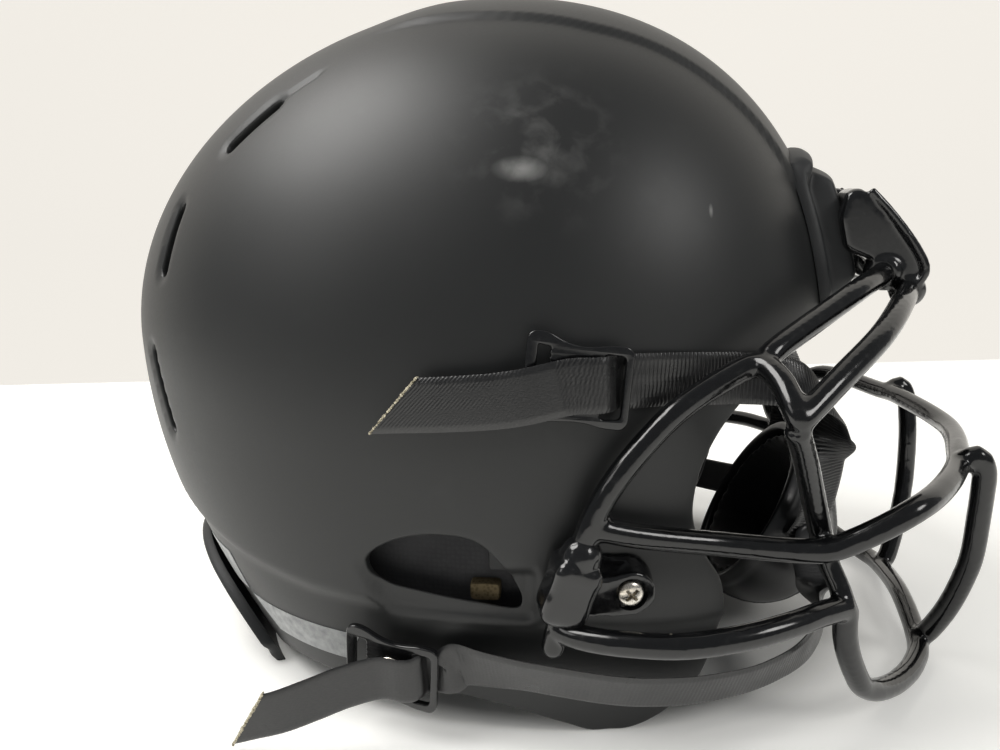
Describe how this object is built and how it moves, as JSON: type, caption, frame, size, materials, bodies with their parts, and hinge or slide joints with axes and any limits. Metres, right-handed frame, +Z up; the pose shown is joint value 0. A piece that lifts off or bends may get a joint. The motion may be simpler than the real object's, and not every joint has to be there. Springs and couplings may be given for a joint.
{
  "type": "american football helmet",
  "caption": "Hard shell helmet with a wire facemask, padded liner, bumpers and a chin cup hung in four buckled straps.",
  "frame": {"origin": "under the middle of the helmet's box, on the surface it stands on", "axes": "+X to the front of the helmet (the wearer's face), +Y to the wearer's left, +Z up; y = 0 is the plane of symmetry"},
  "size_m": [0.3296, 0.2626, 0.242],
  "materials": {
    "shell_paint": "matte black moulded shell with a soft broad sheen",
    "bumper": "matte black",
    "mask_coating": "glossy black vinyl-coated steel wire",
    "gloss_plastic": "glossy black",
    "webbing": "black satin webbing",
    "nickel": "nickel plated",
    "pad_cover": "matte black covered foam",
    "cup_plastic": "black hard plastic"
  },
  "bodies": {
    "helmet": {"shell": "shell_paint", "front_bumper": "bumper", "rear_bumper": "bumper", "rear_bumper_screw_right": "nickel", "side_clip_screw_right": "nickel", "side_t_nut_right": "nickel", "top_clip_screw_right": "nickel", "top_t_nut_right": "nickel", "side_clip_right": "gloss_plastic", "top_clip_right": "gloss_plastic", "mask_side_bar_right": "mask_coating", "mask_strut_right": "mask_coating", "mask_lower_side_bar_right": "mask_coating", "mask_chin_vertical_right": "mask_coating", "side_upper_pad_right": "pad_cover", "jaw_pad_right": "pad_cover", "snap_stud_upper_right": "nickel", "strap_upper_right": "webbing", "snap_stud_lower_right": "nickel", "strap_lower_right": "webbing", "rear_bumper_screw_left": "nickel", "side_clip_screw_left": "nickel", "side_t_nut_left": "nickel", "top_clip_screw_left": "nickel", "top_t_nut_left": "nickel", "side_clip_left": "gloss_plastic", "top_clip_left": "gloss_plastic", "mask_side_bar_left": "mask_coating", "mask_strut_left": "mask_coating", "mask_lower_side_bar_left": "mask_coating", "mask_chin_vertical_left": "mask_coating", "side_upper_pad_left": "pad_cover", "jaw_pad_left": "pad_cover", "snap_stud_upper_left": "nickel", "strap_upper_left": "webbing", "snap_stud_lower_left": "nickel", "strap_lower_left": "webbing", "mask_brow_bar_upper": "mask_coating", "mask_brow_bar_lower": "mask_coating", "mask_main_bar": "mask_coating", "mask_chin_loop": "mask_coating", "crown_pad": "pad_cover", "front_pad": "pad_cover", "rear_upper_pad": "pad_cover", "rear_lower_pad": "pad_cover", "nape_pad": "pad_cover"},
    "upper_buckle_right": {"buckle_upper_right": "gloss_plastic", "snap_cap_upper_right": "nickel", "strap_tail_upper_right": "webbing"},
    "lower_buckle_right": {"buckle_lower_right": "gloss_plastic", "snap_cap_lower_right": "nickel", "strap_tail_lower_right": "webbing"},
    "upper_buckle_left": {"buckle_upper_left": "gloss_plastic", "snap_cap_upper_left": "nickel", "strap_tail_upper_left": "webbing"},
    "lower_buckle_left": {"buckle_lower_left": "gloss_plastic", "snap_cap_lower_left": "nickel", "strap_tail_lower_left": "webbing"},
    "chin_cup": {"chin_cup": "cup_plastic", "chin_cup_pad": "pad_cover"}
  },
  "joints": [
    {"name": "snap_swivel_upper_right", "type": "hinge", "parent": "helmet", "child": "upper_buckle_right", "pos_m": [0.03071, -0.10354, 0.118], "axis": [0.2894, -0.9511, 0.108], "range_deg": [-12, 12]},
    {"name": "snap_swivel_lower_right", "type": "hinge", "parent": "helmet", "child": "lower_buckle_right", "pos_m": [-0.02679, -0.10928, 0.0245], "axis": [-0.0629, -0.9935, -0.0952], "range_deg": [-12, 12]},
    {"name": "snap_swivel_upper_left", "type": "hinge", "parent": "helmet", "child": "upper_buckle_left", "pos_m": [0.03071, 0.10354, 0.118], "axis": [0.2894, 0.9511, 0.108], "range_deg": [-12, 12]},
    {"name": "snap_swivel_lower_left", "type": "hinge", "parent": "helmet", "child": "lower_buckle_left", "pos_m": [-0.02679, 0.10928, 0.0245], "axis": [-0.0629, 0.9935, -0.0952], "range_deg": [-12, 12]},
    {"name": "chin_cup_rock", "type": "hinge", "parent": "helmet", "child": "chin_cup", "pos_m": [0.09771, 0, 0.05], "axis": [0, 1, 0], "range_deg": [-8, 8]}
  ]
}
